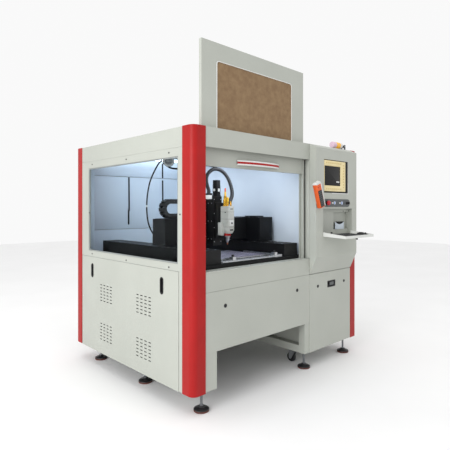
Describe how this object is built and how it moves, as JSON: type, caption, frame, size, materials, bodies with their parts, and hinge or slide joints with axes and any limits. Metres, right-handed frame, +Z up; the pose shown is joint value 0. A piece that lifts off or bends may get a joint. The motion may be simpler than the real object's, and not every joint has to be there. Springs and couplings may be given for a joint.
{
  "type": "laser engraver",
  "caption": "Enclosed gantry laser machine with a lifting front window door, side window, red corner posts and an operator console with monitor, fold-up keyboard tray and buttons.",
  "frame": {"origin": "on the floor below the middle of the machine's outer box at rest", "axes": "+X to the right of a person facing the front, +Y from the front to the back, +Z up"},
  "size_m": [1.97, 1.9136, 2.432],
  "materials": {
    "light_grey_enamel": "light grey powder coat",
    "red_enamel": "red powder coat",
    "black_anodised": "black anodised",
    "white_lining": "white paint, satin",
    "bright_aluminium": "machined",
    "kraft_film": "window covered with brown protective paper",
    "cream_plastic": "moulded",
    "charcoal_plastic": "moulded",
    "charcoal_metal": "dark paint",
    "black_rubber": "moulded",
    "black_plastic": "moulded",
    "pale_head_enamel": "pale grey paint",
    "signal_red_plastic": "moulded",
    "blue_lens": "lit ring button",
    "orange_plastic": "moulded",
    "pink_lens": "translucent lens",
    "zinc_steel": "zinc plated",
    "foot_steel": "black foot with a rubber base"
  },
  "bodies": {
    "machine": {"base_frame": "light_grey_enamel", "roof_cover": "light_grey_enamel", "side_window_frame": "light_grey_enamel", "side_panel_left": "light_grey_enamel", "side_panel_right": "light_grey_enamel", "rear_panel": "light_grey_enamel", "front_frame": "light_grey_enamel", "front_panel": "light_grey_enamel", "console_shell": "light_grey_enamel", "corner_column_front_left": "red_enamel", "corner_column_rear_left": "red_enamel", "corner_column_front_right": "red_enamel", "corner_column_rear_right": "red_enamel", "machine_bed": "charcoal_metal", "laser_source": "charcoal_metal", "chamber_side_wall": "white_lining", "levelling_foot_1": "foot_steel", "levelling_foot_2": "foot_steel", "levelling_foot_3": "foot_steel", "levelling_foot_4": "foot_steel", "levelling_foot_5": "foot_steel", "levelling_foot_6": "foot_steel", "y_axis_cover_left": "black_anodised", "y_axis_cover_right": "black_anodised", "fibre_cable": "black_rubber", "cable_balancer": "zinc_steel", "fixture_rails": "bright_aluminium", "control_plate": "charcoal_plastic", "monitor": "cream_plastic", "lamp_bracket": "charcoal_metal"},
    "front_door": {"front_door": "light_grey_enamel", "front_door_window": "kraft_film", "front_door_handle": "red_enamel"},
    "gantry": {"gantry_beam": "black_anodised", "x_drag_chain": "black_plastic"},
    "carriage": {"x_carriage": "black_anodised", "z_axis_body": "black_anodised", "z_motor": "black_anodised", "head_hose": "black_rubber"},
    "head": {"cutting_head": "pale_head_enamel"},
    "cabinet_door": {"cabinet_door": "light_grey_enamel"},
    "cabinet_lock_left": {"cabinet_lock_left": "black_plastic"},
    "cabinet_lock_right": {"cabinet_lock_right": "black_plastic"},
    "tray": {"keyboard_tray": "light_grey_enamel", "keyboard": "black_plastic"},
    "mouse": {"mouse": "black_plastic"},
    "estop": {"estop_button": "signal_red_plastic"},
    "start": {"start_button": "blue_lens"},
    "stop": {"stop_button": "blue_lens"},
    "key": {"key_switch": "black_plastic"},
    "remote": {"remote_pendant": "orange_plastic"},
    "lamp": {"signal_lamp": "pink_lens"},
    "caster_fork_1": {"caster_fork_1": "zinc_steel"},
    "caster_wheel_1": {"caster_wheel_1": "black_plastic"},
    "caster_fork_2": {"caster_fork_2": "zinc_steel"},
    "caster_wheel_2": {"caster_wheel_2": "black_plastic"},
    "caster_fork_3": {"caster_fork_3": "zinc_steel"},
    "caster_wheel_3": {"caster_wheel_3": "black_plastic"},
    "caster_fork_4": {"caster_fork_4": "zinc_steel"},
    "caster_wheel_4": {"caster_wheel_4": "black_plastic"}
  },
  "joints": [
    {"name": "front_door_slide", "type": "slide", "parent": "machine", "child": "front_door", "axis": [0, 0, 1], "range_m": [-0.69, 0]},
    {"name": "gantry_y", "type": "slide", "parent": "machine", "child": "gantry", "axis": [0, 1, 0], "range_m": [-0.13, 0.55], "deforming": ["fibre_cable"]},
    {"name": "carriage_x", "type": "slide", "parent": "gantry", "child": "carriage", "axis": [1, 0, 0], "range_m": [-0.17, 0.33], "deforming": ["x_drag_chain"]},
    {"name": "head_z", "type": "slide", "parent": "carriage", "child": "head", "axis": [0, 0, 1], "range_m": [-0.05, 0.04], "deforming": ["head_hose"]},
    {"name": "cabinet_door_tilt", "type": "hinge", "parent": "machine", "child": "cabinet_door", "pos_m": [0.56, -0.67523, 0.141], "axis": [1, 0, 0], "range_deg": [0, 40]},
    {"name": "cabinet_lock_left_turn", "type": "hinge", "parent": "cabinet_door", "child": "cabinet_lock_left", "pos_m": [0.364, -0.68423, 0.669], "axis": [0, -1, 0], "range_deg": [0, 90]},
    {"name": "cabinet_lock_right_turn", "type": "hinge", "parent": "cabinet_door", "child": "cabinet_lock_right", "pos_m": [0.768, -0.68423, 0.669], "axis": [0, -1, 0], "range_deg": [0, 90]},
    {"name": "keyboard_tray_fold", "type": "hinge", "parent": "machine", "child": "tray", "pos_m": [0.572, -0.74223, 1.094], "axis": [-1, 0, 0], "range_deg": [0, 93]},
    {"name": "mouse_slide", "type": "slide", "parent": "tray", "child": "mouse", "axis": [0, 0.9986, 0.0523], "range_m": [-0.03, 0.05]},
    {"name": "estop_push", "type": "slide", "parent": "machine", "child": "estop", "axis": [0, 1, 0], "range_m": [0, 0.004]},
    {"name": "start_push", "type": "slide", "parent": "machine", "child": "start", "axis": [0, 1, 0], "range_m": [0, 0.003], "stiffness_N_per_m": 500, "springref_m": -0.002},
    {"name": "stop_push", "type": "slide", "parent": "machine", "child": "stop", "axis": [0, 1, 0], "range_m": [0, 0.003], "stiffness_N_per_m": 500, "springref_m": -0.002},
    {"name": "key_turn", "type": "hinge", "parent": "machine", "child": "key", "pos_m": [0.706, -0.75153, 1.365], "axis": [0, -1, 0], "range_deg": [0, 90]},
    {"name": "signal_lamp_fold", "type": "hinge", "parent": "machine", "child": "lamp", "pos_m": [0.845, -0.63023, 1.888], "axis": [0, 1, 0], "range_deg": [0, 90]},
    {"name": "remote_lift", "type": "slide", "parent": "machine", "child": "remote", "axis": [0, -1, 0], "range_m": [0, 0.15]},
    {"name": "caster_swivel_1", "type": "hinge", "parent": "machine", "child": "caster_fork_1", "pos_m": [-0.655, -0.33623, 0.1397], "axis": [0, 0, 1], "continuous": true},
    {"name": "caster_roll_1", "type": "hinge", "parent": "caster_fork_1", "child": "caster_wheel_1", "pos_m": [-0.655, -0.31023, 0.0405], "axis": [1, 0, 0], "continuous": true},
    {"name": "caster_swivel_2", "type": "hinge", "parent": "machine", "child": "caster_fork_2", "pos_m": [-0.655, 0.61377, 0.1397], "axis": [0, 0, 1], "continuous": true},
    {"name": "caster_roll_2", "type": "hinge", "parent": "caster_fork_2", "child": "caster_wheel_2", "pos_m": [-0.655, 0.63977, 0.0405], "axis": [1, 0, 0], "continuous": true},
    {"name": "caster_swivel_3", "type": "hinge", "parent": "machine", "child": "caster_fork_3", "pos_m": [0.304, -0.48123, 0.1397], "axis": [0, 0, 1], "continuous": true},
    {"name": "caster_roll_3", "type": "hinge", "parent": "caster_fork_3", "child": "caster_wheel_3", "pos_m": [0.304, -0.45523, 0.0405], "axis": [1, 0, 0], "continuous": true},
    {"name": "caster_swivel_4", "type": "hinge", "parent": "machine", "child": "caster_fork_4", "pos_m": [0.715, 0.71377, 0.1397], "axis": [0, 0, 1], "continuous": true},
    {"name": "caster_roll_4", "type": "hinge", "parent": "caster_fork_4", "child": "caster_wheel_4", "pos_m": [0.715, 0.73977, 0.0405], "axis": [1, 0, 0], "continuous": true}
  ]
}
